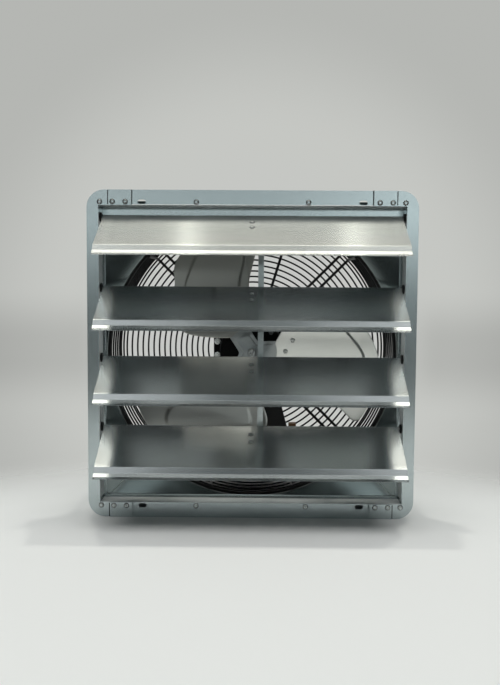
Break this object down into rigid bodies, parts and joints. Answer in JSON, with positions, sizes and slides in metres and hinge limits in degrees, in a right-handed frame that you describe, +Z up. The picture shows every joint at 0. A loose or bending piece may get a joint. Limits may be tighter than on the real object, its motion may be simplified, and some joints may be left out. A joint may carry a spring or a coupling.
{
  "type": "shutter exhaust fan",
  "caption": "Square wall exhaust fan with linked gravity louvres in front, a three-blade wheel behind an orifice panel, and a motor carried by a black wire guard.",
  "frame": {"origin": "where the fan's axis crosses the back plane of the front flange, which lies against the wall", "axes": "+X to the right seen from outside, +Y along the fan's axis into the wall, +Z up"},
  "size_m": [0.528, 0.2695, 0.528],
  "materials": {
    "galvanised_steel": "galvanised, dull blue-grey sheen",
    "mill_aluminium": "mill finish, satin",
    "black_paint": "satin black",
    "black_plastic": "matt black",
    "plain_steel": "zinc plated or bare",
    "grey_casting": "dull grey",
    "copper_wire": "enamelled copper wire",
    "ochre_block": "dull"
  },
  "bodies": {
    "frame": {"frame_left": "galvanised_steel", "frame_right": "galvanised_steel", "frame_top": "galvanised_steel", "frame_bottom": "galvanised_steel", "orifice_panel": "galvanised_steel", "louvre_1_bushing_left": "black_plastic", "louvre_1_bushing_right": "black_plastic", "guard_clip_1": "plain_steel", "motor_bolt_1": "plain_steel", "louvre_2_bushing_left": "black_plastic", "louvre_2_bushing_right": "black_plastic", "guard_clip_2": "plain_steel", "motor_bolt_2": "plain_steel", "louvre_3_bushing_left": "black_plastic", "louvre_3_bushing_right": "black_plastic", "guard_clip_3": "plain_steel", "motor_bolt_3": "plain_steel", "louvre_4_bushing_left": "black_plastic", "louvre_4_bushing_right": "black_plastic", "guard_clip_4": "plain_steel", "motor_bolt_4": "plain_steel", "guard_side": "black_paint", "guard_back": "black_paint", "motor_plate": "black_paint", "motor_shell": "black_paint", "motor_front_bell": "black_paint", "motor_rear_bell": "black_paint", "front_bearing": "plain_steel", "rear_bearing": "plain_steel", "stator_core": "plain_steel", "stator_windings": "copper_wire", "junction_box": "black_plastic", "junction_box_lid": "black_plastic", "motor_lead": "black_plastic", "cord_inlet": "ochre_block"},
    "louvre_1": {"louvre_1_blade": "mill_aluminium", "louvre_1_rod": "plain_steel", "louvre_1_bracket": "galvanised_steel"},
    "louvre_2": {"louvre_2_blade": "mill_aluminium", "louvre_2_rod": "plain_steel", "louvre_2_bracket": "galvanised_steel"},
    "louvre_3": {"louvre_3_blade": "mill_aluminium", "louvre_3_rod": "plain_steel", "louvre_3_bracket": "galvanised_steel"},
    "louvre_4": {"louvre_4_blade": "mill_aluminium", "louvre_4_rod": "plain_steel", "louvre_4_bracket": "galvanised_steel"},
    "tie_bar": {"tie_pin_1": "plain_steel", "tie_pin_2": "plain_steel", "tie_pin_3": "plain_steel", "tie_pin_4": "plain_steel", "tie_bar": "galvanised_steel"},
    "wheel": {"motor_shaft": "plain_steel", "rotor_core": "plain_steel", "set_screw": "plain_steel", "wheel_hub": "grey_casting", "wheel_spider": "grey_casting", "blade_1": "mill_aluminium", "blade_2": "mill_aluminium", "blade_3": "mill_aluminium"}
  },
  "joints": [
    {"name": "louvre_1_hinge", "type": "hinge", "parent": "frame", "child": "louvre_1", "pos_m": [0, 0.0118, 0.2216], "axis": [1, 0, 0], "range_deg": [-21.4, 54.6]},
    {"name": "louvre_2_hinge", "type": "hinge", "parent": "frame", "child": "louvre_2", "pos_m": [0, 0.0118, 0.1084], "axis": [1, 0, 0], "range_deg": [-21.4, 54.6]},
    {"name": "louvre_3_hinge", "type": "hinge", "parent": "frame", "child": "louvre_3", "pos_m": [0, 0.0118, -0.0048], "axis": [1, 0, 0], "range_deg": [-21.4, 54.6]},
    {"name": "louvre_4_hinge", "type": "hinge", "parent": "frame", "child": "louvre_4", "pos_m": [0, 0.0118, -0.118], "axis": [1, 0, 0], "range_deg": [-21.4, 54.6]},
    {"name": "tie_bar_hinge", "type": "hinge", "parent": "louvre_1", "child": "tie_bar", "pos_m": [0, 0.02448, 0.21235], "axis": [1, 0, 0], "range_deg": [-54.6, 21.4]},
    {"name": "fan_spin", "type": "hinge", "parent": "frame", "child": "wheel", "pos_m": [0, 0.0745, 0], "axis": [0, 1, 0], "continuous": true}
  ],
  "couplings": [
    {"joint": "louvre_2_hinge", "follows": "louvre_1_hinge", "ratio": 1},
    {"joint": "louvre_3_hinge", "follows": "louvre_1_hinge", "ratio": 1},
    {"joint": "louvre_4_hinge", "follows": "louvre_1_hinge", "ratio": 1},
    {"joint": "tie_bar_hinge", "follows": "louvre_1_hinge", "ratio": -1}
  ]
}
